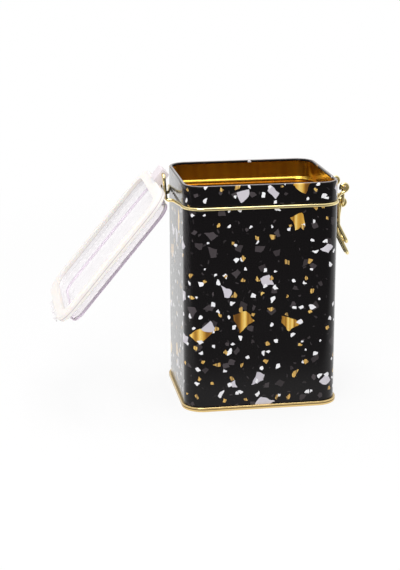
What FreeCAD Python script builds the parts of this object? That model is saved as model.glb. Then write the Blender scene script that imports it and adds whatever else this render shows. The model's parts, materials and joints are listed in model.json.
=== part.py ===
import FreeCAD, Part
import os
from math import acos, asin, atan2, cos, degrees, radians, sin, sqrt, tan

# Storage tin with a clear hinged lid and a wire clasp.
# Millimetres and degrees. The origin is the centre of the base, on the surface that the tin stands on.
# +X points to the clasp, +Y to the back and +Z up. The lid hangs open on the -X side.

# Tin body
tin_width = 100.8
tin_depth = 85.0
tin_height = 150.0
corner_radius = 12.6
sheet = 0.5
rim_curl_radius = 1.15
rim_curl_turn = 205.0

# Neck groove, and the wire that lies in it
neck_drop = 14.7
wire_radius = 1.1
wire_stand = 0.2
groove_clearance = 0.2
groove_edge_radius = 1.3

# Base, with its double seam and a pressed bead
seam_height = 3.0
seam_stand = 1.4
seam_edge_radius = 0.6
seam_floor = 0.9
seam_fit = 0.08
panel_recess = 1.6
bead_inset = 10.0
bead_radius = 1.2

# Hinge arms and pin, bent from the neck wire
pin_stand_off = 9.2
pin_above_rim = 1.46
elbow_stand_off = 7.9
slope_stand_off = 3.3
slope_setback = 1.6
wire_bend_radius = 2.4
groove_exit_setback = 2.0
groove_exit_radius = 9.0

# Neck eyes, clasp lever and clasp bail
eye_stand_off = 9.6
eye_rise = 4.2
eye_clearance = 0.2
eye_side_play = 0.4
eye_end_gap = 0.45
eye_ramp_angle = 30.0
pivot_stub = 1.6
lever_width = 8.0
crank_drop = 11.1
crank_bend_radius = 1.3
crank_side_play = 0.4
knee_drop = 31.2
knee_shift = 2.4
knee_bend_radius = 6.0
tail_drop = 47.6
tail_reach = 6.1
end_bend_radius = 3.2
bail_rest_clearance = 0.5
bail_bend_radius = 4.0

# Lid cover and gasket
lid_overhang = 2.6
seal_clearance = 0.3
gasket_under = 2.4
gasket_band = 1.8
gasket_edge_radius = 0.8
gasket_fit = 0.1
flange_thickness = 2.2
box_inset = 5.0
box_height = 6.6
box_wall = 2.0
window_thickness = 1.7
box_edge_radius = 1.8
box_inner_edge_radius = 1.0
lug_width = 16.4
lug_above = 3.2
lug_below = 2.6
lug_beyond = 2.6
lug_corner_radius = 0.8
lug_side_clearance = 0.4
pin_clearance = 0.1
notch_clearance = 0.3
lip_width = 40.0
lip_reach = 4.6
lip_thickness = 1.8
lip_ridge_width = 1.0
lip_ridge_height = 0.9
lip_corner_radius = 3.0
hook_clearance = 0.3
slot_clearance = 0.5
open_angle = 230.0

# How far a cutting solid runs past what it cuts
overrun = 5.0

ORIGIN = FreeCAD.Vector(0, 0, 0)
X_AXIS = FreeCAD.Vector(1, 0, 0)
Y_AXIS = FreeCAD.Vector(0, 1, 0)
Z_AXIS = FreeCAD.Vector(0, 0, 1)

# Places that several pieces share
half_x = tin_width / 2
half_y = tin_depth / 2
pin = FreeCAD.Vector(-half_x - pin_stand_off, 0, tin_height + pin_above_rim)
neck_height = tin_height - neck_drop
hinge_arm_y = -(lug_width / 2 + lug_side_clearance + wire_bend_radius)
eye_radius = 2 * wire_radius + eye_clearance
lever_y = -lever_width / 2
crank_y = lever_y - crank_bend_radius - wire_radius - crank_side_play / 2
shoulder_y = 2 * crank_y - lever_y
eye_y = shoulder_y - crank_bend_radius - wire_radius - eye_side_play
eye = FreeCAD.Vector(half_x + eye_stand_off, eye_y, neck_height + eye_rise)
crank = FreeCAD.Vector(eye.x, crank_y, eye.z - crank_drop)
knee = FreeCAD.Vector(eye.x - knee_shift, lever_y, eye.z - knee_drop)
tail = FreeCAD.Vector(eye.x + tail_reach, lever_y, eye.z - tail_drop)
bail_apart = 2 * wire_radius + bail_rest_clearance
lid_x = half_x + lid_overhang
lid_y = half_y + lid_overhang
lid_radius = corner_radius + lid_overhang
seal_z = tin_height + seal_clearance
flange_low = seal_z + gasket_under
flange_top = flange_low + flange_thickness
box_top = flange_top + box_height
lip_top = flange_low + lip_thickness


def vec(x, y, z):
    return FreeCAD.Vector(x, y, z)


def line(start, end):
    return Part.LineSegment(start, end).toShape()


def on_circle(centre, radius, angle):
    """Point of a circle in the XZ plane of its centre, with the angle from +X towards +Z."""
    return centre + vec(radius * cos(radians(angle)), 0, radius * sin(radians(angle)))


def arc(centre, radius, start, end):
    """Arc of that circle between two angles."""
    middle = (start + end) / 2
    points = [on_circle(centre, radius, angle) for angle in (start, middle, end)]
    return Part.Arc(*points).toShape()


def one_solid(shape):
    return shape.removeSplitter().Solids[0]


def box_between(low, high):
    """Box from its lowest corner to its highest."""
    size = high - low
    return Part.makeBox(size.x, size.y, size.z, low)


def upright_edges(block):
    boxes = [(edge, edge.BoundBox) for edge in block.Edges]
    return [edge for edge, box in boxes if box.ZLength > max(box.XLength, box.YLength)]


def rounded_block(reach_x, reach_y, radius, low, high):
    """Upright block with a rounded rectangle as its plan, reaching that far from the middle."""
    block = box_between(vec(-reach_x, -reach_y, low), vec(reach_x, reach_y, high))
    return block.makeFillet(radius, upright_edges(block))


def carried_round(edges, reach_x, reach_y, radius):
    """Carries a closed section round a rounded rectangle.

    The section is drawn in the XZ plane, where x is how far it stands out from the rectangle's side.
    """
    face = Part.Face(Part.Wire(edges))
    face.translate(vec(reach_x, reach_y - radius, 0))
    centre = vec(reach_x - radius, reach_y - radius, 0)
    turned = face.copy()
    turned.rotate(centre, Z_AXIS, 90)
    corner = face.revolve(centre, Z_AXIS, 90)
    side = face.extrude(vec(0, -2 * (reach_y - radius), 0))
    back = turned.extrude(vec(-2 * (reach_x - radius), 0, 0))
    pieces = [corner, side, back, corner.mirror(ORIGIN, X_AXIS), corner.mirror(ORIGIN, Y_AXIS)]
    for piece in (corner, side, back):
        opposite = piece.copy()
        opposite.rotate(ORIGIN, Z_AXIS, 180)
        pieces.append(opposite)
    return one_solid(pieces[0].multiFuse(pieces[1:]))


def bent_path(points, radii):
    """Straight runs through the points, each inner corner rounded by its radius."""
    edges = []
    last = points[0]
    for before, corner, after, radius in zip(points, points[1:], points[2:], radii):
        incoming = (corner - before).normalize()
        outgoing = (after - corner).normalize()
        half_turn = acos(incoming.dot(outgoing)) / 2
        setback = radius * tan(half_turn)
        inwards = (outgoing - incoming).normalize()
        start = corner - incoming * setback
        end = corner + outgoing * setback
        middle = corner + inwards * (radius / cos(half_turn) - radius)
        edges.append(line(last, start))
        edges.append(Part.Arc(start, middle, end).toShape())
        last = end
    edges.append(line(last, points[-1]))
    return edges


def drawn_wire(edges):
    """Round wire along a path of tangent runs and arcs."""
    path = Part.Wire(edges)
    first = edges[0]
    start = first.valueAt(first.FirstParameter)
    heading = first.tangentAt(first.FirstParameter)
    section = Part.Wire([Part.makeCircle(wire_radius, start, heading)])
    return path.makePipeShell([section], True, False)


def both_halves(half):
    """The near half of a symmetric wire, joined to its mirror image."""
    return one_solid(half.fuse(half.mirror(ORIGIN, Y_AXIS)))


def eye_arc(centre, leaving_angle, way):
    """Open eye of a wire, from its cut end to where it leaves along the tangent, clear of itself.

    The wire goes round with the angle where way is 1, and against it where way is -1.
    """
    open_turn = degrees(acos(1 - (2 * wire_radius + eye_end_gap) / eye_radius))
    return arc(centre, eye_radius, leaving_angle - way * (360 - open_turn), leaving_angle)


def swung_open(shape):
    shape.rotate(pin, -Y_AXIS, open_angle)
    return shape


def make_tin_body():
    """Tinplate wall with the neck groove pressed in and the rim rolled inwards."""
    groove = vec(wire_stand, 0, neck_height)
    groove_radius = wire_radius + groove_clearance
    reach = groove_radius + groove_edge_radius
    rise = sqrt(reach ** 2 - (wire_stand + groove_edge_radius) ** 2)
    slope = degrees(atan2(rise, -wire_stand - groove_edge_radius))
    upper = groove + vec(-wire_stand - groove_edge_radius, 0, rise)
    lower = groove + vec(-wire_stand - groove_edge_radius, 0, -rise)
    curl = vec(-rim_curl_radius, 0, tin_height - rim_curl_radius)

    def wall_line(depth, start, end):
        return line(vec(-depth, 0, start), vec(-depth, 0, end))

    def groove_edges(depth):
        return [
            arc(lower, groove_edge_radius - depth, 0, 180 - slope),
            arc(groove, groove_radius + depth, 360 - slope, slope),
            arc(upper, groove_edge_radius - depth, slope - 180, 0),
        ]

    edges = [wall_line(0, seam_floor, lower.z)]
    edges += groove_edges(0)
    edges.append(wall_line(0, upper.z, curl.z))
    edges.append(arc(curl, rim_curl_radius, 0, rim_curl_turn))
    edges.append(line(
        on_circle(curl, rim_curl_radius, rim_curl_turn),
        on_circle(curl, rim_curl_radius - sheet, rim_curl_turn),
    ))
    edges.append(arc(curl, rim_curl_radius - sheet, rim_curl_turn, 0))
    edges.append(wall_line(sheet, curl.z, upper.z))
    edges += groove_edges(sheet)[::-1]
    edges.append(wall_line(sheet, lower.z, seam_floor))
    edges.append(line(vec(-sheet, 0, seam_floor), vec(0, 0, seam_floor)))
    return carried_round(edges, half_x, half_y, corner_radius)


def make_tin_base():
    """Bottom end: the double seam round the wall's foot, and a recessed panel with a pressed bead."""
    chuck = -sheet - seam_fit
    inner = chuck - sheet
    panel_top = panel_recess + sheet
    edge = seam_edge_radius
    low_outer = vec(seam_stand - edge, 0, edge)
    high_outer = vec(seam_stand - edge, 0, seam_height - edge)
    low_inner = vec(inner + sheet, 0, sheet)
    edges = [
        line(vec(low_inner.x, 0, 0), vec(low_outer.x, 0, 0)),
        arc(low_outer, edge, -90, 0),
        line(vec(seam_stand, 0, low_outer.z), vec(seam_stand, 0, high_outer.z)),
        arc(high_outer, edge, 0, 90),
        line(vec(high_outer.x, 0, seam_height), vec(seam_fit, 0, seam_height)),
        line(vec(seam_fit, 0, seam_height), vec(seam_fit, 0, seam_floor)),
        line(vec(seam_fit, 0, seam_floor), vec(chuck, 0, seam_floor)),
        line(vec(chuck, 0, seam_floor), vec(chuck, 0, panel_top)),
        line(vec(chuck, 0, panel_top), vec(inner, 0, panel_top)),
        line(vec(inner, 0, panel_top), vec(inner, 0, low_inner.z)),
        arc(low_inner, sheet, 180, 270),
    ]
    seam = carried_round(edges, half_x, half_y, corner_radius)
    inset = -(inner + chuck) / 2
    panel = rounded_block(half_x - inset, half_y - inset, corner_radius - inset, panel_recess, panel_top)

    def bead(radius):
        centre = vec(-bead_inset, 0, panel_recess)
        half_round = [arc(centre, radius, 0, 180), line(centre - X_AXIS * radius, centre + X_AXIS * radius)]
        return carried_round(half_round, half_x, half_y, corner_radius)

    return one_solid(seam.fuse(panel).fuse(bead(bead_radius)).cut(bead(bead_radius - sheet)))


def make_neck_wire():
    """Wire in the neck groove, from the near eye round the front to the hinge pin, and mirrored."""
    around_x = half_x + wire_stand
    around_y = half_y + wire_stand
    around_radius = corner_radius + wire_stand
    exit_y = -(half_y - corner_radius - groove_exit_setback)
    leaving = eye_ramp_angle - 90
    ramp_top = on_circle(eye, eye_radius, leaving)
    ramp_run = (ramp_top.z - neck_height) / tan(radians(eye_ramp_angle))
    points = [
        ramp_top,
        vec(ramp_top.x - ramp_run, eye.y, neck_height),
        vec(around_x, exit_y, neck_height),
        vec(around_x, -around_y, neck_height),
        vec(-around_x, -around_y, neck_height),
        vec(-around_x, exit_y, neck_height),
        vec(-half_x - slope_stand_off, hinge_arm_y - slope_setback, neck_height),
        vec(-half_x - elbow_stand_off, hinge_arm_y, neck_height),
        vec(pin.x, hinge_arm_y, pin.z),
        pin,
    ]
    radii = [
        wire_bend_radius,
        groove_exit_radius,
        around_radius,
        around_radius,
        groove_exit_radius,
        wire_bend_radius,
        wire_bend_radius,
        wire_bend_radius,
    ]
    edges = [eye_arc(eye, leaving, -1)] + bent_path(points, radii)
    return both_halves(drawn_wire(edges))


def make_clasp_lever():
    """Lever: a pivot in each eye, a crank for the bail and a tail that stands out for the finger."""
    points = [
        eye - Y_AXIS * (wire_radius + pivot_stub),
        vec(eye.x, shoulder_y, eye.z),
        vec(eye.x, shoulder_y, crank.z),
        vec(eye.x, lever_y, crank.z),
        knee,
        tail,
        vec(tail.x, 0, tail.z),
    ]
    radii = [crank_bend_radius, crank_bend_radius, crank_bend_radius, knee_bend_radius, end_bend_radius]
    return both_halves(drawn_wire(bent_path(points, radii)))


def make_clasp_bail():
    """Bail: an eye round each crank, arms bent to lie along the lever, and a loop that hooks over the lip."""
    hook = vec(lid_x + hook_clearance + wire_radius, crank.y, lip_top + hook_clearance + wire_radius)
    length = (hook - crank).Length
    slant = (tail - knee).normalize()
    above_slant = (crank - knee).dot(vec(-slant.z, 0, slant.x))
    hang = degrees(atan2(slant.z, slant.x) + asin((bail_apart - above_slant) / length))
    loop = on_circle(crank, length, hang)
    down = vec(knee.x, crank.y, knee.z) - crank
    bend = crank + down * (1 - bail_apart / above_slant)
    leaving = degrees(atan2(down.z, down.x) - acos(eye_radius / (bend - crank).Length))
    points = [on_circle(crank, eye_radius, leaving), bend, loop, vec(loop.x, 0, loop.z)]
    edges = [eye_arc(crank, leaving, 1)] + bent_path(points, [bail_bend_radius, end_bend_radius])
    return both_halves(drawn_wire(edges))


def lid_lug():
    """Block round the hinge pin, with a web to the flange's edge."""
    root = -(lid_x - gasket_band)
    outside = -lid_x - notch_clearance
    end = pin.x - lug_beyond
    top = pin.z + lug_above
    half_width = lug_width / 2
    block = box_between(vec(end, -half_width, pin.z - lug_below), vec(outside, half_width, top))
    across = [edge for edge in block.Edges if edge.BoundBox.YLength > lug_width / 2]
    outer = [edge for edge in across if edge.CenterOfMass.x < pin.x]
    web = box_between(vec(pin.x, -half_width, seal_z), vec(root, half_width, top))
    return block.makeFillet(lug_corner_radius, outer).fuse(web)


def lid_lip():
    """Front lip with a ridge along its edge: the bail hooks over it, with its arms in two slots."""
    root = lid_x - gasket_band
    end = lid_x + lip_reach
    high = lip_top + lip_ridge_height
    half_width = lip_width / 2
    block = box_between(vec(root, -half_width, flange_low), vec(end, half_width, high))
    outer = [edge for edge in upright_edges(block) if edge.CenterOfMass.x > lid_x]
    lip = block.makeFillet(lip_corner_radius, outer)
    trough_low = vec(root - overrun, -half_width - overrun, lip_top)
    trough_high = vec(end - lip_ridge_width, half_width + overrun, high + overrun)
    lip = lip.cut(box_between(trough_low, trough_high))
    slot_near = -crank_y - end_bend_radius
    slot_far = -crank_y + wire_radius + slot_clearance
    slot_low = vec(lid_x, slot_near, flange_low - overrun)
    slot_high = vec(end + overrun, slot_far, high + overrun)
    slot = box_between(slot_low, slot_high)
    return lip.cut(slot).cut(slot.mirror(ORIGIN, Y_AXIS))


def softened_top(block, radius):
    """The block with the edges of its top face rounded."""
    top = block.BoundBox.ZMax
    edges = [e for e in block.Edges if e.BoundBox.ZMin > top - radius]
    return block.makeFillet(radius, edges)


def make_lid_cover():
    """Clear lid: flange, hollow raised top, hinge lug and front lip."""
    band = gasket_band
    flange = rounded_block(lid_x - band, lid_y - band, lid_radius - band, flange_low, flange_top)
    inset = box_inset
    box = rounded_block(lid_x - inset, lid_y - inset, lid_radius - inset, flange_low, box_top)
    inset = box_inset + box_wall
    ceiling = box_top - window_thickness
    cavity = rounded_block(
        lid_x - inset, lid_y - inset, lid_radius - inset, flange_low - overrun, ceiling
    )
    bore = Part.makeCylinder(
        wire_radius + pin_clearance, lug_width + 2 * overrun, pin - Y_AXIS * (lug_width / 2 + overrun), Y_AXIS
    )
    cover = flange.fuse(softened_top(box, box_edge_radius)).fuse(lid_lug()).fuse(lid_lip())
    cover = cover.cut(softened_top(cavity, box_inner_edge_radius)).cut(bore)
    return swung_open(one_solid(cover))


def make_lid_gasket():
    """Seal that grips the flange's edge and lies under it, notched for the lug and the lip."""
    width = box_inset + box_wall
    grip = gasket_fit - gasket_band
    edge = gasket_edge_radius
    low = vec(-edge, 0, seal_z + edge)
    high = vec(-edge, 0, flange_top - edge)
    edges = [
        line(vec(-width, 0, seal_z), vec(-edge, 0, seal_z)),
        arc(low, edge, -90, 0),
        line(vec(0, 0, low.z), vec(0, 0, high.z)),
        arc(high, edge, 0, 90),
        line(vec(-edge, 0, flange_top), vec(grip, 0, flange_top)),
        line(vec(grip, 0, flange_top), vec(grip, 0, flange_low)),
        line(vec(grip, 0, flange_low), vec(-width, 0, flange_low)),
        line(vec(-width, 0, flange_low), vec(-width, 0, seal_z)),
    ]
    ring = carried_round(edges, lid_x, lid_y, lid_radius)
    lug_y = lug_width / 2 + notch_clearance
    lip_y = lip_width / 2 + notch_clearance
    lug_low = vec(-lid_x - overrun, -lug_y, seal_z - overrun)
    lug_notch = box_between(lug_low, vec(gasket_band - lid_x, lug_y, flange_top + overrun))
    lip_low = vec(lid_x - gasket_band, -lip_y, flange_low)
    lip_notch = box_between(lip_low, vec(lid_x + overrun, lip_y, flange_top + overrun))
    return swung_open(one_solid(ring.cut(lug_notch).cut(lip_notch)))


PIECES = {
    "tin_body": make_tin_body,
    "tin_base": make_tin_base,
    "neck_wire": make_neck_wire,
    "clasp_lever": make_clasp_lever,
    "clasp_bail": make_clasp_bail,
    "lid_cover": make_lid_cover,
    "lid_gasket": make_lid_gasket,
}

os.makedirs("parts", exist_ok=True)
for name, make in PIECES.items():
    make().exportStep("parts/" + name + ".step")
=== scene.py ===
import json
from math import acos, asin, atan2, cos, degrees, hypot, pi, radians, sin, sqrt, tan

import bmesh
import bpy
from mathutils import Matrix, Vector


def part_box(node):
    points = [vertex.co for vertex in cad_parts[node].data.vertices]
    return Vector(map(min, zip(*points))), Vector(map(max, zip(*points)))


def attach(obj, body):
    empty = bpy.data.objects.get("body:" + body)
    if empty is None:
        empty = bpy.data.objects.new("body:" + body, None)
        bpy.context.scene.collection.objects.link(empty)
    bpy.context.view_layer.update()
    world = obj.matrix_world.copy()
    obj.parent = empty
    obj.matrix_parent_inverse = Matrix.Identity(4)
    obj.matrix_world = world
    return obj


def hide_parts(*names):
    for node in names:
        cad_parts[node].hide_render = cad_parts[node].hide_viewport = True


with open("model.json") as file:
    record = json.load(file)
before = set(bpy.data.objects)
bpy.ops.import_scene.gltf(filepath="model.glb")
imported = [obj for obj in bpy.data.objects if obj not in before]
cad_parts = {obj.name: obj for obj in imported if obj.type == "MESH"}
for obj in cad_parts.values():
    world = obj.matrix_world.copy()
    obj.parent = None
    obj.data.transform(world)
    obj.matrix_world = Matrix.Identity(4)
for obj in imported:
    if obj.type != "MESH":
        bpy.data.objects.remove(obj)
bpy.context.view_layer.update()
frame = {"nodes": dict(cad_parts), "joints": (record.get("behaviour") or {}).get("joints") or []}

# Sizes are in millimetres and angles in degrees. Meshes are made in metres.
MM = 0.001
joint_at = {joint["name"]: Vector(joint["pos_m"]) / MM for joint in frame["joints"]}


def node_box(name):
    """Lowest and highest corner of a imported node, in millimetres."""
    low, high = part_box(name)
    return low / MM, high / MM


# Tin wall
wall_low, wall_high = node_box("tin_body")
half_x = wall_high.x
half_y = wall_high.y
tin_height = wall_high.z
wall_foot = wall_low.z
corner_radius = 12.6
sheet = 0.5
rim_curl_radius = 1.15
rim_curl_turn = 205.0
# Depth of the painted highlight along the top of the rim's curl
rim_highlight_depth = 0.3

# Base seam, with the height and width of the painted shade line along its crease
shade_line_height = 1.75
shade_line_width = 0.5

# Wire and the groove that it lies in
wire_radius = 1.1
wire_stand = 0.2
neck_height = 135.3
groove_radius = 1.3
groove_edge_radius = 1.3
groove_exit_setback = 2.0
groove_exit_radius = 9.0
wire_bend_radius = 2.4

# Hinge arms of the neck wire
pin = joint_at["lid_hinge"]
hinge_arm_y = -11.0
elbow_stand_off = 7.9
slope_stand_off = 3.3
slope_setback = 1.6

# Clasp: eyes of the neck wire, lever and bail
eye_y = -12.0
eye = joint_at["lever_swing"] + Vector((0, eye_y, 0))
eye_radius = 2.4
eye_end_gap = 0.45
eye_ramp_angle = 30.0
pivot_stub = 1.6
crank_y = -6.6
crank = joint_at["bail_swing"] + Vector((0, crank_y, 0))
shoulder_y = -9.2
lever_y = -4.0
crank_bend_radius = 1.3
knee_shift = 2.4
knee_drop = 31.2
knee = Vector((eye.x - knee_shift, lever_y, eye.z - knee_drop))
knee_bend_radius = 6.0
tail_reach = 6.1
tail_drop = 47.6
tail = Vector((eye.x + tail_reach, lever_y, eye.z - tail_drop))
end_bend_radius = 3.2
hooked_x = 54.4
hooked_z = 155.9
hook_reach = hypot(hooked_x - crank.x, hooked_z - crank.z)
bail_rest_clearance = 0.5
bail_apart = 2 * wire_radius + bail_rest_clearance
bail_bend_radius = 4.0

# Lid, in places of the closed lid
open_angle = 230.0
lid_overhang = 2.6
flange_top = 154.9
flange_blend = 0.3
lug_root = -53.3
lug_blend = 0.4
box_inset = 5.0
box_reach_x = half_x + lid_overhang - box_inset
box_reach_y = half_y + lid_overhang - box_inset
box_corner_radius = corner_radius + lid_overhang - box_inset
box_height = 6.6
box_top = flange_top + box_height
box_edge_radius = 1.8
# Painted edge line: its height below the top and how far it clouds the plastic
painted_line_height = 2.5
painted_line_cloud = 0.4
haze_reach = 12.0
parting_height = 152.7
parting_width = 0.3

# Fineness of the meshes
arc_step = 9.0
bend_steps = 10
corner_steps = 18
wire_sides = 20
smooth_angle = 32.0
merge_distance = 0.002

# Camera of the photograph, in the tin's frame
camera_place = Vector((-176.68, -894.77, 329.92))
camera_yaw = 9.0323
camera_pitch = 15.7687
camera_roll = -0.2176
focal_pixels = 1407.763
image_height = 570
sensor = 36.0


# Node helpers

def fill(tree, node, values):
    """Sets or links a node's inputs, by name or number."""
    for key, value in values.items():
        socket = node.inputs[key]
        if isinstance(value, bpy.types.NodeSocket):
            tree.links.new(value, socket)
        else:
            socket.default_value = value


def add(tree, kind, inputs=None, **settings):
    """Adds a node with its settings and fills its inputs."""
    made = tree.nodes.new(kind)
    for name, value in settings.items():
        setattr(made, name, value)
    fill(tree, made, inputs or {})
    return made


def maths(tree, operation, *values, **settings):
    kind = "ShaderNodeMath"
    return add(tree, kind, dict(enumerate(values)), operation=operation, **settings).outputs[0]


def vector_maths(tree, operation, *values):
    return add(tree, "ShaderNodeVectorMath", dict(enumerate(values)), operation=operation)


def parts_of(tree, vector):
    """X, Y and Z of a vector."""
    return add(tree, "ShaderNodeSeparateXYZ", {0: vector}).outputs


def turned_flat(tree, vector, angle):
    """Vector turned about Z."""
    inputs = {"Vector": vector, "Angle": angle}
    return add(tree, "ShaderNodeVectorRotate", inputs, rotation_type="Z_AXIS").outputs[0]


def remap(tree, value, from_low, from_high, to_low, to_high):
    """Smooth step from one range to another."""
    inputs = {0: value, 1: from_low, 2: from_high, 3: to_low, 4: to_high}
    return add(tree, "ShaderNodeMapRange", inputs, interpolation_type="SMOOTHSTEP").outputs[0]


def mix_colour(tree, share, first, second):
    made = add(tree, "ShaderNodeMix", {0: share, 6: first, 7: second}, data_type="RGBA")
    return made.outputs[2]


def colour(red, green, blue):
    return (red, green, blue, 1.0)


def ramp(tree, share, stops):
    """Colour ramp through (place, colour) stops."""
    made = add(tree, "ShaderNodeValToRGB", {0: share})
    points = made.color_ramp.elements
    while len(points) < len(stops):
        points.new(1.0)
    for point, (place, shade) in zip(points, stops):
        point.position = place
        point.color = shade
    return made.outputs[0]


def new_material(name):
    """Empty material, with its Principled shader and output."""
    material = bpy.data.materials.new(name)
    material.use_nodes = True
    tree = material.node_tree
    tree.nodes.clear()
    shader = add(tree, "ShaderNodeBsdfPrincipled")
    add(tree, "ShaderNodeOutputMaterial", {"Surface": shader.outputs[0]})
    return material, tree, shader


def noise(tree, place, scale, detail=2.0, roughness=0.5, **settings):
    inputs = {"Vector": place, "Scale": scale, "Detail": detail, "Roughness": roughness}
    return add(tree, "ShaderNodeTexNoise", inputs, **settings)


def bump(tree, height, depth, strength=1.0):
    inputs = {"Height": height, "Distance": depth * MM, "Strength": strength}
    return add(tree, "ShaderNodeBump", inputs).outputs[0]


def scaled(tree, vector, factor):
    return add(tree, "ShaderNodeVectorMath", {0: vector, "Scale": factor}, operation="SCALE").outputs[0]


def object_place(tree):
    """Object coordinates in millimetres."""
    return scaled(tree, add(tree, "ShaderNodeTexCoord").outputs["Object"], 1 / MM)


def closed_place(tree):
    """Coordinates of the closed lid in millimetres, kept on the lid's meshes."""
    place = add(tree, "ShaderNodeAttribute", attribute_name="closed_place").outputs["Vector"]
    return scaled(tree, place, 1 / MM)


# Terrazzo print

# Sides of a chip: their angles, how far they swing, and their nearest distance and its spread
side_angles = (0.0, 82.0, 171.0, 263.0)
side_wander = 46.0
side_nearest = 0.5
side_spread = 0.55
clip_angle = 130.0

# Kinds of chip. Spacing, size and shift are in millimetres, and the shift gives each kind its own layout.
chip_kinds = {
    "sliver": {
        "Spacing": 6.5, "Share": 0.5, "Size": 0.7, "Spread": 0.6,
        "Rounding": 0.0, "Stretch": 2.0, "Clip": 1.5, "Shift": 31.0,
    },
    "smoky": {
        "Spacing": 13.0, "Share": 0.6, "Size": 3.0, "Spread": 0.65,
        "Rounding": 0.1, "Stretch": 1.15, "Clip": 0.9, "Shift": 107.0,
    },
    "pale": {
        "Spacing": 29.0, "Share": 0.56, "Size": 4.6, "Spread": 0.4,
        "Rounding": 0.0, "Stretch": 1.2, "Clip": 1.6, "Shift": 211.0,
    },
    "shard": {
        "Spacing": 33.0, "Share": 0.46, "Size": 5.7, "Spread": 0.3,
        "Rounding": 0.0, "Stretch": 1.35, "Clip": 1.6, "Shift": 353.0,
    },
    "white": {
        "Spacing": 9.4, "Share": 0.64, "Size": 1.68, "Spread": 0.55,
        "Rounding": 0.5, "Stretch": 1.25, "Clip": 0.9, "Shift": 499.0,
    },
    "gold": {
        "Spacing": 11.6, "Share": 0.54, "Size": 1.75, "Spread": 0.5,
        "Rounding": 0.3, "Stretch": 1.2, "Clip": 0.9, "Shift": 601.0,
    },
}
shift_slope = 0.61

# Gold chips: widths of their painted reflection bands, range of their phases and share of bare metal
shard_reflection_width = 7.5
gold_chip_reflection_width = 1.7
reflection_phases = 90.0
foil_metal = 0.2


def chance_group(tree, seed):
    """Three random values of a cell, and the colour that seeds the next three."""
    made = add(tree, "ShaderNodeTexWhiteNoise", {"Vector": seed}).outputs["Color"]
    return made, add(tree, "ShaderNodeSeparateColor", {0: made}).outputs


def chip_group():
    """Node group of scattered chips, each with its own size and turn, four sides and a clipped corner."""
    tree = bpy.data.node_groups.new("scattered_chips", "ShaderNodeTree")
    tree.interface.new_socket("Place", in_out="INPUT", socket_type="NodeSocketVector")
    for name in ("Spacing", "Share", "Size", "Spread", "Rounding", "Stretch", "Clip"):
        tree.interface.new_socket(name, in_out="INPUT", socket_type="NodeSocketFloat")
    for name in ("Inside", "Tone"):
        tree.interface.new_socket(name, in_out="OUTPUT", socket_type="NodeSocketFloat")
    given = add(tree, "NodeGroupInput").outputs
    density = maths(tree, "DIVIDE", 1.0, given["Spacing"])
    inputs = {"Vector": given["Place"], "Scale": density, "Randomness": 0.9}
    cells = add(tree, "ShaderNodeTexVoronoi", inputs, voronoi_dimensions="2D", feature="F1")
    seed = cells.outputs["Color"]
    first = add(tree, "ShaderNodeSeparateColor", {0: seed}).outputs
    seed, second = chance_group(tree, seed)
    seed, third = chance_group(tree, seed)
    seed, fourth = chance_group(tree, seed)
    local = vector_maths(tree, "SUBTRACT", given["Place"], cells.outputs["Position"]).outputs[0]
    turn = maths(tree, "MULTIPLY", first[0], 2 * pi)
    turned = turned_flat(tree, local, turn)
    stretch = add(tree, "ShaderNodeCombineXYZ", {"X": given["Stretch"], "Y": 1.0, "Z": 1.0})
    drawn = vector_maths(tree, "DIVIDE", turned, stretch.outputs[0]).outputs[0]
    shrink = maths(tree, "MULTIPLY", third[2], given["Spread"])
    size = maths(tree, "MULTIPLY", given["Size"], maths(tree, "SUBTRACT", 1.0, shrink))

    def beyond(angle, distance):
        """How far a point lies towards a side, where 1 is on the side."""
        along = parts_of(tree, turned_flat(tree, drawn, angle))["X"]
        return maths(tree, "DIVIDE", along, maths(tree, "MULTIPLY", size, distance))

    wanders = (second[0], second[1], second[2], third[0])
    distances = (fourth[0], fourth[1], fourth[2], third[1])
    reach = beyond(-radians(clip_angle), given["Clip"])
    for angle, wander, chance in zip(side_angles, wanders, distances):
        swing = radians(side_wander)
        facing = maths(tree, "MULTIPLY_ADD", wander, swing, -radians(angle) - swing / 2)
        share = beyond(facing, maths(tree, "MULTIPLY_ADD", chance, side_spread, side_nearest))
        reach = maths(tree, "SMOOTH_MAX", reach, share, given["Rounding"])
    inside = maths(tree, "LESS_THAN", reach, 1.0)
    present = maths(tree, "LESS_THAN", first[1], given["Share"])
    made = {"Inside": maths(tree, "MULTIPLY", inside, present), "Tone": first[2]}
    add(tree, "NodeGroupOutput", made)
    return tree


def chips(tree, group, place, kind):
    """One kind of chip, as (inside, tone)."""
    inputs = dict(chip_kinds[kind])
    shift = inputs.pop("Shift")
    inputs["Place"] = vector_maths(tree, "ADD", place, (shift, shift_slope * shift, 0.0)).outputs[0]
    made = add(tree, "ShaderNodeGroup", inputs, node_tree=group)
    return made.outputs["Inside"], made.outputs["Tone"]


# Colours of the painted reflection bands on the gold foil, from dark brown to bright gold
gold_reflection_stops = (
    (0.0, colour(0.12, 0.05, 0.008)),
    (0.24, colour(0.3, 0.13, 0.018)),
    (0.44, colour(0.75, 0.41, 0.06)),
    (0.56, colour(1.0, 0.74, 0.23)),
    (0.68, colour(0.82, 0.47, 0.08)),
    (0.84, colour(0.3, 0.13, 0.018)),
    (1.0, colour(0.62, 0.33, 0.05)),
)


def painted_gold_reflections(tree, run, tone, width):
    """Painted reflection: upright bands of brown and bright gold, as brushed foil would mirror its
    surroundings, with a phase of their own on each chip.
    """
    phase = maths(tree, "MULTIPLY", tone, reflection_phases)
    across = maths(tree, "MULTIPLY_ADD", run, 1.0 / width, phase)
    inputs = {"W": across, "Scale": 1.0, "Detail": 0.0}
    bands = add(tree, "ShaderNodeTexNoise", inputs, noise_dimensions="1D").outputs[0]
    return ramp(tree, remap(tree, bands, 0.2, 0.8, 0.0, 1.0), gold_reflection_stops)


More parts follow.
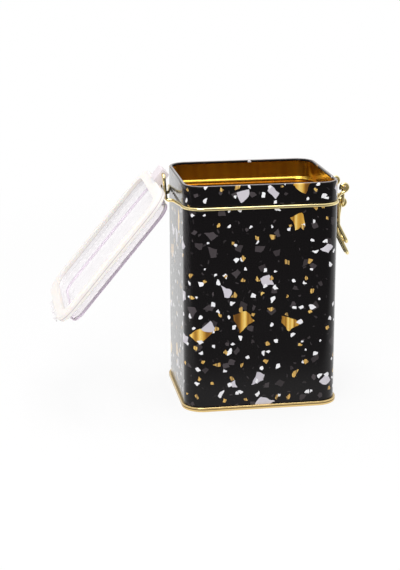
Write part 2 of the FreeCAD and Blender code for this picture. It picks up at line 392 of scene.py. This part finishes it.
def printed_lacquer():
    """Black lacquer over tinplate, printed with terrazzo chips in white, grey and bare gold with painted
    reflection bands, and with a painted highlight along the top of the rim.
    """
    material, tree, shader = new_material("printed_lacquer")
    printed = add(tree, "ShaderNodeUVMap", uv_map="print_map").outputs[0]
    place = scaled(tree, printed, 1 / MM)
    run = parts_of(tree, place)["X"]

    def warped(scale, amount):
        """Place with a drift, which keeps the chips' sides from being quite straight."""
        drift = noise(tree, place, scale, 1.0, noise_dimensions="2D").outputs["Color"]
        centred = vector_maths(tree, "SUBTRACT", drift, (0.5, 0.5, 0.5)).outputs[0]
        return vector_maths(tree, "ADD", place, scaled(tree, centred, amount)).outputs[0]

    crisp = warped(0.45, 0.9)
    curved = warped(0.16, 2.4)
    group = chip_group()
    slivers, sliver_tone = chips(tree, group, crisp, "sliver")
    smoky, smoky_tone = chips(tree, group, crisp, "smoky")
    pale, pale_tone = chips(tree, group, curved, "pale")
    shards, shard_tone = chips(tree, group, curved, "shard")
    white, white_tone = chips(tree, group, crisp, "white")
    gold, gold_tone = chips(tree, group, crisp, "gold")

    sliver_shade = mix_colour(tree, sliver_tone, colour(0.014, 0.012, 0.013), colour(0.05, 0.043, 0.046))
    shade = mix_colour(tree, slivers, colour(0.005, 0.004, 0.0044), sliver_shade)
    smoky_shade = mix_colour(tree, smoky_tone, colour(0.035, 0.029, 0.031), colour(0.072, 0.061, 0.066))
    shade = mix_colour(tree, smoky, shade, smoky_shade)
    pale_shade = mix_colour(tree, pale_tone, colour(0.54, 0.51, 0.56), colour(0.66, 0.63, 0.68))
    shade = mix_colour(tree, pale, shade, pale_shade)
    # Gold shards: painted reflection bands of brushed foil.
    shade = mix_colour(tree, shards, shade, painted_gold_reflections(tree, run, shard_tone, shard_reflection_width))
    white_shade = mix_colour(tree, white_tone, colour(0.82, 0.81, 0.84), colour(0.92, 0.92, 0.94))
    shade = mix_colour(tree, white, shade, white_shade)
    # Gold chips: painted reflection bands, with a quarter of the foil's own gold mixed in.
    reflected_bands = painted_gold_reflections(tree, run, gold_tone, gold_chip_reflection_width)
    gold_shade = mix_colour(tree, 0.25, reflected_bands, colour(0.88, 0.64, 0.27))
    shade = mix_colour(tree, gold, shade, gold_shade)

    under_white = maths(tree, "MULTIPLY", shards, maths(tree, "SUBTRACT", 1.0, white))
    foil = maths(tree, "MAXIMUM", under_white, gold)
    grain = noise(tree, place, 3.2, 3.0, 0.6, noise_dimensions="2D").outputs[0]
    ripple = noise(tree, place, 0.22, 2.0, noise_dimensions="2D").outputs[0]
    height = maths(tree, "MULTIPLY_ADD", ripple, 2.0, grain)
    # Painted highlight: a grey band with a grainy lower edge along the top of the rim's curl, where light
    # glances off the rolled rim.
    level = parts_of(tree, object_place(tree))["Z"]
    highlight_foot = maths(tree, "MULTIPLY_ADD", grain, rim_highlight_depth, tin_height - 1.5 * rim_highlight_depth)
    painted_rim_highlight = remap(tree, maths(tree, "SUBTRACT", level, highlight_foot), 0.0, rim_highlight_depth / 2, 0.0, 1.0)
    fill(tree, shader, {
        "Base Color": mix_colour(tree, painted_rim_highlight, shade, colour(0.3, 0.27, 0.255)),
        "Metallic": maths(tree, "MULTIPLY", foil, foil_metal),
        "Roughness": remap(tree, grain, 0.25, 0.75, 0.2, 0.3),
        "Specular IOR Level": 0.07,
        "Coat Weight": 1.0,
        "Coat Roughness": 0.16,
        "Coat IOR": 1.235,
        "Normal": bump(tree, height, 0.016),
    })
    return material


# Metals

def gold_lacquer():
    """Gold varnish on the inside of the wall, with the faint upright lines of rolled sheet."""
    material, tree, shader = new_material("gold_lacquer")
    printed = add(tree, "ShaderNodeUVMap", uv_map="print_map").outputs[0]
    stretched = vector_maths(tree, "MULTIPLY", printed, (1 / MM, 0.03 / MM, 1.0)).outputs[0]
    lines = noise(tree, stretched, 0.5, 4.0, 0.6, noise_dimensions="2D").outputs[0]
    shade = mix_colour(tree, lines, colour(0.8, 0.48, 0.05), colour(0.9, 0.57, 0.08))
    fill(tree, shader, {
        "Base Color": shade,
        "Metallic": 1.0,
        "Roughness": remap(tree, lines, 0.3, 0.7, 0.2, 0.26),
        "Coat Weight": 0.5,
        "Coat Roughness": 0.2,
        "Normal": bump(tree, lines, 0.004),
    })
    return material


def gold_seam():
    """Gold tinplate of the base, with painted shade along its crease, rolling lines and small rubbed spots.
    """
    material, tree, shader = new_material("gold_seam")
    place = object_place(tree)
    stretched = vector_maths(tree, "MULTIPLY", place, (0.06, 0.06, 3.0)).outputs[0]
    lines = noise(tree, stretched, 1.0, 4.0, 0.65).outputs[0]
    spots = noise(tree, place, 0.7, 3.0, 0.6).outputs[0]
    shade = mix_colour(tree, lines, colour(0.68, 0.46, 0.17), colour(0.9, 0.7, 0.36))
    shade = mix_colour(tree, remap(tree, spots, 0.62, 0.75, 0.0, 0.2), shade, colour(0.5, 0.33, 0.12))
    # Painted shade: a dark line along the seam's crease, where shade falls between the rolled bands.
    height = parts_of(tree, place)["Z"]
    from_shade_line = maths(tree, "ABSOLUTE", maths(tree, "SUBTRACT", height, shade_line_height))
    crease_shade = remap(tree, from_shade_line, shade_line_width / 2, shade_line_width, 1.0, 0.0)
    fill(tree, shader, {
        "Base Color": mix_colour(tree, crease_shade, shade, colour(0.2, 0.12, 0.035)),
        "Metallic": 1.0,
        "Roughness": remap(tree, spots, 0.3, 0.7, 0.14, 0.22),
        "Normal": bump(tree, lines, 0.008),
    })
    return material


def gold_wire():
    """Bright plated wire with fine drawing marks and a slight change of tone."""
    material, tree, shader = new_material("gold_wire")
    place = object_place(tree)
    marks = noise(tree, place, 2.4, 4.0, 0.62).outputs[0]
    clouds = noise(tree, place, 0.09, 2.0).outputs[0]
    shade = mix_colour(tree, clouds, colour(0.93, 0.75, 0.33), colour(1.0, 0.86, 0.48))
    fill(tree, shader, {
        "Base Color": shade,
        "Metallic": 1.0,
        "Roughness": remap(tree, marks, 0.3, 0.7, 0.06, 0.13),
        "Normal": bump(tree, marks, 0.006),
    })
    return material


# Plastics

def past_box_side(tree, place):
    """How far a place lies past the side of the lid's raised top. It is less than 0 inside."""
    past_x = maths(tree, "SUBTRACT", maths(tree, "ABSOLUTE", place["X"]), box_reach_x - box_corner_radius)
    past_y = maths(tree, "SUBTRACT", maths(tree, "ABSOLUTE", place["Y"]), box_reach_y - box_corner_radius)
    beside = maths(tree, "MINIMUM", maths(tree, "MAXIMUM", past_x, past_y), 0.0)
    past = add(tree, "ShaderNodeCombineXYZ", {"X": past_x, "Y": past_y}).outputs[0]
    past = vector_maths(tree, "MAXIMUM", past, (0.0, 0.0, 0.0)).outputs[0]
    from_corner = vector_maths(tree, "LENGTH", past).outputs["Value"]
    return maths(tree, "ADD", beside, maths(tree, "SUBTRACT", from_corner, box_corner_radius))


def clear_plastic():
    """Clear moulded plastic with a faint lilac tint, a painted lilac edge line on the rounded edge of the
    raised top, and milky at the flange.
    """
    material, tree, shader = new_material("clear_plastic")
    flow = noise(tree, object_place(tree), 0.05, 2.0).outputs[0]
    closed = parts_of(tree, closed_place(tree))
    # Painted edge line: a clouded lilac band on the rounded edge of the raised top, in place of the line
    # that refraction shows at that edge.
    out = past_box_side(tree, closed)
    outwards = remap(tree, out, -box_edge_radius, -0.7 * box_edge_radius, 0.0, 1.0)
    band_foot = box_top - painted_line_height
    upwards = remap(tree, closed["Z"], band_foot, band_foot + 0.3 * box_edge_radius, 0.0, 1.0)
    painted_edge_line = maths(tree, "MULTIPLY", outwards, upwards)
    tint = mix_colour(tree, flow, colour(0.975, 0.95, 0.965), colour(0.99, 0.975, 0.985))
    on_lug = remap(tree, closed["X"], lug_root - lug_blend, lug_root + lug_blend, 1.0, 0.0)
    tint = mix_colour(tree, on_lug, tint, colour(0.86, 0.79, 0.82))
    flange_low = flange_top - flange_blend
    above_flange = remap(tree, closed["Z"], flange_low, flange_top + flange_blend, 0.0, 1.0)
    hazy = remap(tree, out, -haze_reach, -box_edge_radius, 0.97, 0.84)
    clearness = remap(tree, above_flange, 0.0, 1.0, 0.05, hazy)
    line_clouded = maths(tree, "MULTIPLY_ADD", painted_edge_line, -painted_line_cloud, 1.0)
    fill(tree, shader, {
        "Base Color": mix_colour(tree, painted_edge_line, tint, colour(0.84, 0.71, 0.85)),
        "Roughness": remap(tree, above_flange, 0.0, 1.0, 0.3, 0.03),
        "IOR": 1.07,
        "Transmission Weight": maths(tree, "MULTIPLY", clearness, line_clouded),
        "Normal": bump(tree, flow, 0.05),
    })
    return material


def cream_silicone():
    """Soft satin silicone, slightly uneven, with the mould's parting line round its edge."""
    material, tree, shader = new_material("cream_silicone")
    place = object_place(tree)
    clouds = noise(tree, place, 0.12, 3.0).outputs[0]
    dust = noise(tree, place, 4.0, 2.0, 0.6).outputs[0]
    height = parts_of(tree, closed_place(tree))["Z"]
    away = maths(tree, "ABSOLUTE", maths(tree, "SUBTRACT", height, parting_height))
    line = remap(tree, away, parting_width / 2, parting_width, 1.0, 0.0)
    shade = mix_colour(tree, clouds, colour(0.93, 0.875, 0.835), colour(0.95, 0.905, 0.875))
    fill(tree, shader, {
        "Base Color": mix_colour(tree, line, shade, colour(0.62, 0.55, 0.55)),
        "Roughness": remap(tree, dust, 0.3, 0.7, 0.42, 0.58),
        "Subsurface Weight": 0.3,
        "Subsurface Radius": (1.0, 0.8, 0.6),
        "Subsurface Scale": 1.2 * MM,
        "Normal": bump(tree, dust, 0.008),
    })
    return material


# Sections carried along paths

def carried_tree():
    """Geometry nodes: rounds the bends of a path and carries a section along it."""
    tree = bpy.data.node_groups.new("section_carried_along_path", "GeometryNodeTree")
    sockets = (
        ("Path", "NodeSocketGeometry"),
        ("Section", "NodeSocketObject"),
        ("Bend steps", "NodeSocketInt"),
        ("Level path", "NodeSocketBool"),
        ("Merge distance", "NodeSocketFloat"),
        ("Outer finish", "NodeSocketMaterial"),
        ("Inner finish", "NodeSocketMaterial"),
    )
    for name, kind in sockets:
        tree.interface.new_socket(name, in_out="INPUT", socket_type=kind)
    tree.interface.new_socket("Piece", in_out="OUTPUT", socket_type="NodeSocketGeometry")
    given = add(tree, "NodeGroupInput").outputs

    def attribute(name):
        return add(tree, "GeometryNodeInputNamedAttribute", {"Name": name}, data_type="FLOAT").outputs[0]

    def stored(geometry, name, value, **settings):
        inputs = {"Geometry": geometry, "Name": name, "Value": value}
        return add(tree, "GeometryNodeStoreNamedAttribute", inputs, **settings).outputs[0]

    path = add(tree, "GeometryNodeMeshToCurve", {"Mesh": given["Path"]}).outputs[0]
    bend = attribute("bend")
    is_bent = maths(tree, "GREATER_THAN", bend, 0.0)
    steps = maths(tree, "MULTIPLY", given["Bend steps"], is_bent)
    inputs = {"Curve": path, "Count": steps, "Radius": bend}
    rounded = add(tree, "GeometryNodeFilletCurve", inputs, mode="POLY").outputs[0]
    level = add(tree, "GeometryNodeSetCurveNormal", {"Curve": rounded}, mode="Z_UP").outputs[0]
    inputs = {"Switch": given["Level path"], "False": rounded, "True": level}
    chosen = add(tree, "GeometryNodeSwitch", inputs, input_type="GEOMETRY").outputs[0]
    run = add(tree, "GeometryNodeSplineParameter").outputs["Length"]
    marked = stored(chosen, "run", run, data_type="FLOAT", domain="POINT")
    shape = add(tree, "GeometryNodeObjectInfo", {"Object": given["Section"]}).outputs["Geometry"]
    section = add(tree, "GeometryNodeMeshToCurve", {"Mesh": shape}).outputs[0]
    capped = maths(tree, "SUBTRACT", 1.0, given["Level path"])
    inputs = {"Curve": marked, "Profile Curve": section, "Fill Caps": capped}
    skin = add(tree, "GeometryNodeCurveToMesh", inputs).outputs[0]
    spot = add(tree, "ShaderNodeCombineXYZ", {"X": attribute("run"), "Y": attribute("along")}).outputs[0]
    mapped = stored(skin, "print_map", spot, data_type="FLOAT2", domain="CORNER")
    inputs = {"Geometry": mapped, "Distance": given["Merge distance"]}
    closed = add(tree, "GeometryNodeMergeByDistance", inputs).outputs[0]
    whole = add(tree, "GeometryNodeRealizeInstances", {0: closed}).outputs[0]
    inputs = {"Geometry": whole, "Material": given["Outer finish"]}
    outer = add(tree, "GeometryNodeSetMaterial", inputs).outputs[0]
    is_inner = maths(tree, "GREATER_THAN", attribute("inner"), 0.9)
    inputs = {"Geometry": outer, "Selection": is_inner, "Material": given["Inner finish"]}
    finished = add(tree, "GeometryNodeSetMaterial", inputs).outputs[0]
    add(tree, "NodeGroupOutput", {"Piece": finished})
    return tree


def placed(name, data):
    """New object in the scene."""
    made = bpy.data.objects.new(name, data)
    bpy.context.scene.collection.objects.link(made)
    return made


def polyline(name, points, closed, **attributes):
    """Object of edges through the points, with values kept on them."""
    mesh = bpy.data.meshes.new(name)
    edges = [(i, i + 1) for i in range(len(points) - 1)]
    if closed:
        edges.append((len(points) - 1, 0))
    mesh.from_pydata([Vector(p) * MM for p in points], edges, [])
    for key, values in attributes.items():
        mesh.attributes.new(key, "FLOAT", "POINT").data.foreach_set("value", values)
    return placed(name, mesh)


def shaded(mesh):
    """Smooth shading that breaks at the sharp edges."""
    mesh.shade_smooth()
    mesh.set_sharp_from_angle(angle=radians(smooth_angle))


def carried(name, tree, path, section, steps, level, outer, inner):
    """Carries the section along the path and leaves a plain mesh object."""
    modifier = path.modifiers.new("carried", "NODES")
    modifier.node_group = tree
    values = {
        "Section": section,
        "Bend steps": steps,
        "Level path": level,
        "Merge distance": merge_distance * MM,
        "Outer finish": outer,
        "Inner finish": inner,
    }
    for item in tree.interface.items_tree:
        if item.in_out == "INPUT" and item.name in values:
            modifier[item.identifier] = values[item.name]
    evaluated = path.evaluated_get(bpy.context.evaluated_depsgraph_get())
    mesh = bpy.data.meshes.new_from_object(evaluated)
    mesh.name = name
    path.modifiers.clear()
    bpy.data.objects.remove(path)
    work = bmesh.new()
    work.from_mesh(mesh)
    bmesh.ops.recalc_face_normals(work, faces=work.faces)
    work.to_mesh(mesh)
    work.free()
    shaded(mesh)
    return placed(name, mesh)


def arc_points(centre, radius, start, end):
    """Points on an arc in the plane of a section, from one angle to another."""
    count = max(2, round(abs(end - start) / arc_step))
    angles = [radians(start + (end - start) * i / count) for i in range(count + 1)]
    return [(centre[0] + radius * cos(a), centre[1] + radius * sin(a)) for a in angles]


def wall_sides():
    """Outer line of the wall's section going up, and its inner line going down, as (stand, height)."""
    reach = groove_radius + groove_edge_radius
    inset = wire_stand + groove_edge_radius
    rise = sqrt(reach ** 2 - inset ** 2)
    slope = 180 - degrees(acos(inset / reach))
    groove = (wire_stand, neck_height)
    upper = (-groove_edge_radius, neck_height + rise)
    lower = (-groove_edge_radius, neck_height - rise)
    curl = (-rim_curl_radius, tin_height - rim_curl_radius)

    def side(depth):
        points = [(-depth, wall_foot)]
        points += arc_points(lower, groove_edge_radius - depth, 0, 180 - slope)
        points += arc_points(groove, groove_radius + depth, 360 - slope, slope)[1:-1]
        points += arc_points(upper, groove_edge_radius - depth, slope - 180, 0)
        return points + arc_points(curl, rim_curl_radius - depth, 0, rim_curl_turn)

    return side(0), side(sheet)[::-1]


def wall_section():
    """Closed section of the wall, marked with the length along it and with which side is the inner one."""
    outer, inner = wall_sides()
    points = outer + inner
    along = [0.0]
    for before, after in zip(points, points[1:]):
        along.append(along[-1] + hypot(after[0] - before[0], after[1] - before[1]))
    marks = [0.0] * len(outer) + [1.0] * len(inner)
    turned = [(stand, -height, 0) for stand, height in points]
    return polyline("wall_section", turned, True, along=[a * MM for a in along], inner=marks)


def tin_round():
    """Path round the tin, from the middle of the back, with its corners rounded."""
    corners = [(-half_x, half_y, 0), (-half_x, -half_y, 0), (half_x, -half_y, 0), (half_x, half_y, 0)]
    back = (0, half_y, 0)
    bends = [0.0] + [corner_radius * MM] * len(corners) + [0.0]
    return polyline("tin_round", [back] + corners + [back], False, bend=bends)


def round_section():
    """Round section of the wire."""
    angles = [2 * pi * i / wire_sides for i in range(wire_sides)]
    points = [(wire_radius * cos(a), wire_radius * sin(a), 0) for a in angles]
    none = [0.0] * wire_sides
    return polyline("wire_section", points, True, along=none, inner=none)


def on_circle(centre, radius, angle):
    """Point at that angle on a circle that stands upright, seen from the front."""
    return centre + radius * Vector((cos(radians(angle)), 0, sin(radians(angle))))


def eye_points(centre, leaving, way):
    """Open eye of a wire, from its cut end to where it leaves along the tangent.

    The wire goes round with the angle where way is 1, and against it where way is -1.
    """
    open_turn = degrees(acos(1 - (2 * wire_radius + eye_end_gap) / eye_radius))
    start = leaving - way * (360 - open_turn)
    count = round((360 - open_turn) / arc_step)
    return [on_circle(centre, eye_radius, start + (leaving - start) * i / count) for i in range(count + 1)]


def mirrored_route(name, points, bends):
    """Wire route from its near end to the middle, and on to the mirrored far end."""
    far = [Vector((p.x, -p.y, p.z)) for p in points]
    route = points + far[::-1]
    return polyline(name, route, False, bend=[b * MM for b in bends + bends[::-1]])


def neck_wire_route():
    """Wire in the neck groove: near eye, round the front, hinge arm and half of the pin."""
    around_x = half_x + wire_stand
    around_y = half_y + wire_stand
    around_radius = corner_radius + wire_stand
    exit_y = -(half_y - corner_radius - groove_exit_setback)
    eye_turns = eye_points(eye, eye_ramp_angle - 90, -1)
    ramp_top = eye_turns[-1]
    ramp_run = (ramp_top.z - neck_height) / tan(radians(eye_ramp_angle))
    bent = [
        ((ramp_top.x - ramp_run, eye.y, neck_height), wire_bend_radius),
        ((around_x, exit_y, neck_height), groove_exit_radius),
        ((around_x, -around_y, neck_height), around_radius),
        ((-around_x, -around_y, neck_height), around_radius),
        ((-around_x, exit_y, neck_height), groove_exit_radius),
        ((-half_x - slope_stand_off, hinge_arm_y - slope_setback, neck_height), wire_bend_radius),
        ((-half_x - elbow_stand_off, hinge_arm_y, neck_height), wire_bend_radius),
        ((pin.x, hinge_arm_y, pin.z), wire_bend_radius),
    ]
    points = eye_turns + [Vector(place) for place, _ in bent]
    bends = [0.0] * len(eye_turns) + [radius for _, radius in bent]
    return mirrored_route("neck_wire_route", points, bends)


def lever_route():
    """Lever: pivot, crank for the bail, knee and half of the tail."""
    bent = [
        ((eye.x, eye.y - wire_radius - pivot_stub, eye.z), 0.0),
        ((eye.x, shoulder_y, eye.z), crank_bend_radius),
        ((eye.x, shoulder_y, crank.z), crank_bend_radius),
        ((eye.x, lever_y, crank.z), crank_bend_radius),
        (knee, knee_bend_radius),
        (tail, end_bend_radius),
    ]
    return mirrored_route("lever_route", [Vector(p) for p, _ in bent], [radius for _, radius in bent])


def bail_route():
    """Bail: an eye round the crank, an arm bent to lie along the lever, and half of the loop."""
    slant = (tail - knee).normalized()
    above_slant = (crank - knee).dot(Vector((-slant.z, 0, slant.x)))
    hang = degrees(atan2(slant.z, slant.x) + asin((bail_apart - above_slant) / hook_reach))
    loop = on_circle(crank, hook_reach, hang)
    down = Vector((knee.x - crank.x, 0, knee.z - crank.z))
    bend = crank + down * (1 - bail_apart / above_slant)
    leaving = degrees(atan2(down.z, down.x) - acos(eye_radius / (bend - crank).length))
    turns = eye_points(crank, leaving, 1)
    bends = [0.0] * len(turns) + [bail_bend_radius, end_bend_radius]
    return mirrored_route("bail_route", turns + [bend, loop], bends)


def smoothed(node, name, finish):
    """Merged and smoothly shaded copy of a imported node, in its place."""
    mesh = frame["nodes"][node].data.copy()
    mesh.name = name
    kept_normals = mesh.attributes.get("custom_normal")
    if kept_normals:
        mesh.attributes.remove(kept_normals)
    work = bmesh.new()
    work.from_mesh(mesh)
    bmesh.ops.remove_doubles(work, verts=work.verts, dist=merge_distance * MM)
    work.to_mesh(mesh)
    work.free()
    shaded(mesh)
    mesh.materials.clear()
    mesh.materials.append(finish)
    return placed(name, mesh)


def mark_closed_place(piece):
    """Keeps on the mesh where each of its points lies once the lid is closed."""
    turn = Matrix.Rotation(radians(open_angle), 4, "Y")
    about = pin * MM
    marks = piece.data.attributes.new("closed_place", "FLOAT_VECTOR", "POINT")
    places = [turn @ (point.co - about) + about for point in piece.data.vertices]
    marks.data.foreach_set("vector", [value for place in places for value in place])


def stand_for(piece, node, body):
    """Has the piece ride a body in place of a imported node."""
    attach(piece, body)
    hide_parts(node)


# The tin's pieces

def dress_tin():
    """Makes the seven pieces, each in place of its node."""
    tree = carried_tree()
    printed = printed_lacquer()
    wire_finish = gold_wire()
    section = wall_section()
    wall = carried("tin_wall", tree, tin_round(), section, corner_steps, True, printed, gold_lacquer())
    stand_for(wall, "tin_body", "tin")
    bpy.data.objects.remove(section)
    round_wire = round_section()
    wires = (
        ("neck_wire_loop", neck_wire_route(), "neck_wire", "tin"),
        ("lever_wire", lever_route(), "clasp_lever", "lever"),
        ("bail_wire", bail_route(), "clasp_bail", "bail"),
    )
    for name, route, node, body in wires:
        wire = carried(name, tree, route, round_wire, bend_steps, False, wire_finish, wire_finish)
        stand_for(wire, node, body)
    bpy.data.objects.remove(round_wire)
    stand_for(smoothed("tin_base", "base_end", gold_seam()), "tin_base", "tin")
    lid_pieces = (
        ("lid_clear_top", clear_plastic(), "lid_cover", "clear_plastic"),
        ("lid_seal", cream_silicone(), "lid_gasket", "cream_silicone"),
    )
    for name, finish, node, slot in lid_pieces:
        piece = smoothed(node, name, finish)
        mark_closed_place(piece)
        stand_for(piece, node, "lid")


# Studio

# Floor: where its glow fades in round the shadow, and the dark card that metal mirrors in front
floor_reach = 9000.0
floor_glow = 0.84
shadow_reach = 200.0
plain_reach = 700.0
card_y = -150.0
card_end_y = -70.0
card_light = 0.2

# Light of the room: all round, low in front, low in front where it is mirrored, and added above there
room_light = 0.7
front_light = 0.25
front_mirrored = 0.12
above_mirrored = 0.4

# Lamps: name, place, width, height and watts
softboxes = (
    ("front_softbox", (-500, -1300, 1200), 900, 700, 11.5),
    ("top_softbox", (0, 0, 1150), 600, 600, 4.5),
)


def seen_through_lid(tree, seen):
    """1 for a ray that has passed through clear plastic and wasn't scattered, else 0."""
    passed = maths(tree, "MINIMUM", seen["Transmission Depth"], 1.0)
    return maths(tree, "MULTIPLY", passed, maths(tree, "SUBTRACT", 1.0, seen["Is Diffuse Ray"]))


def studio_floor():
    """White floor that keeps the tin's soft shadow and looks dim in front where metal mirrors it."""
    material = bpy.data.materials.new("studio_floor")
    material.use_nodes = True
    tree = material.node_tree
    tree.nodes.clear()
    seen = add(tree, "ShaderNodeLightPath").outputs
    shown = maths(tree, "MAXIMUM", seen["Is Camera Ray"], seen_through_lid(tree, seen))
    place = object_place(tree)
    mirrored = remap(tree, parts_of(tree, place)["Y"], card_y, card_end_y, card_light, 1.0)
    strength = maths(tree, "MAXIMUM", shown, mirrored)
    away = vector_maths(tree, "LENGTH", place).outputs["Value"]
    glowing = remap(tree, away, shadow_reach, plain_reach, floor_glow, 1.0)
    share = maths(tree, "MULTIPLY", maths(tree, "MAXIMUM", shown, seen["Is Glossy Ray"]), glowing)
    matt = add(tree, "ShaderNodeBsdfDiffuse", {"Color": colour(0.86, 0.86, 0.86)}).outputs[0]
    inputs = {"Color": colour(1.0, 1.0, 1.0), "Strength": strength}
    glow = add(tree, "ShaderNodeEmission", inputs).outputs[0]
    surface = add(tree, "ShaderNodeMixShader", {0: share, 1: matt, 2: glow}).outputs[0]
    add(tree, "ShaderNodeOutputMaterial", {"Surface": surface})
    mesh = bpy.data.meshes.new("studio_floor")
    reach = floor_reach * MM
    corners = [(-reach, -reach, 0), (reach, -reach, 0), (reach, reach, 0), (-reach, reach, 0)]
    mesh.from_pydata(corners, [], [(0, 1, 2, 3)])
    mesh.materials.append(material)
    placed("studio_floor", mesh)


def studio_world():
    """White room, dim low on the side where the photographer stands, more so where it is mirrored."""
    world = bpy.data.worlds.new("studio")
    world.use_nodes = True
    tree = world.node_tree
    tree.nodes.clear()
    facing = add(tree, "ShaderNodeTexCoord").outputs["Generated"]
    parts = parts_of(tree, facing)
    front = remap(tree, parts["Y"], -0.85, -0.3, 1.0, 0.0)
    low = remap(tree, parts["Z"], 0.3, 0.75, 1.0, 0.0)
    dim = maths(tree, "MULTIPLY", front, low)
    light = remap(tree, dim, 0.0, 1.0, room_light, front_light)
    high = remap(tree, parts["Z"], 0.45, 0.8, 0.0, above_mirrored)
    mirrored = maths(tree, "ADD", remap(tree, dim, 0.0, 1.0, room_light, front_mirrored), high)
    seen = add(tree, "ShaderNodeLightPath").outputs
    light = add(tree, "ShaderNodeMix", {0: seen["Is Glossy Ray"], 2: light, 3: mirrored}).outputs[0]
    shown = maths(tree, "MAXIMUM", seen["Is Camera Ray"], seen_through_lid(tree, seen))
    strength = maths(tree, "MAXIMUM", light, shown)
    glow = add(tree, "ShaderNodeBackground", {"Color": colour(1.0, 1.0, 1.0), "Strength": strength})
    add(tree, "ShaderNodeOutputWorld", {"Surface": glow.outputs[0]})
    bpy.context.scene.world = world


def softbox(name, place, width, height, watts):
    """Area lamp that faces the middle of the tin."""
    lamp = bpy.data.lights.new(name, "AREA")
    lamp.shape = "RECTANGLE"
    lamp.size = width * MM
    lamp.size_y = height * MM
    lamp.energy = watts
    made = placed(name, lamp)
    made.location = Vector(place) * MM
    middle = Vector((0, 0, tin_height / 2)) * MM
    made.rotation_euler = (middle - made.location).to_track_quat("-Z", "Y").to_euler()


def studio_camera():
    """Camera with the photograph's place, turn and focal length."""
    yaw = radians(camera_yaw)
    pitch = radians(camera_pitch)
    roll = radians(camera_roll)
    ahead = Vector((sin(yaw) * cos(pitch), cos(yaw) * cos(pitch), -sin(pitch)))
    right = Vector((cos(yaw), -sin(yaw), 0))
    up = right.cross(ahead)
    rolled_right = cos(roll) * right + sin(roll) * up
    rolled_up = cos(roll) * up - sin(roll) * right
    data = bpy.data.cameras.new("camera")
    data.sensor_width = sensor
    data.lens = focal_pixels * sensor / image_height
    camera = placed("camera", data)
    turn = Matrix((rolled_right, rolled_up, -ahead)).transposed()
    camera.matrix_world = Matrix.Translation(camera_place * MM) @ turn.to_4x4()
    bpy.context.scene.camera = camera


dress_tin()
studio_floor()
studio_world()
for lamp in softboxes:
    softbox(*lamp)
studio_camera()
bpy.context.scene.view_settings.view_transform = "Standard"
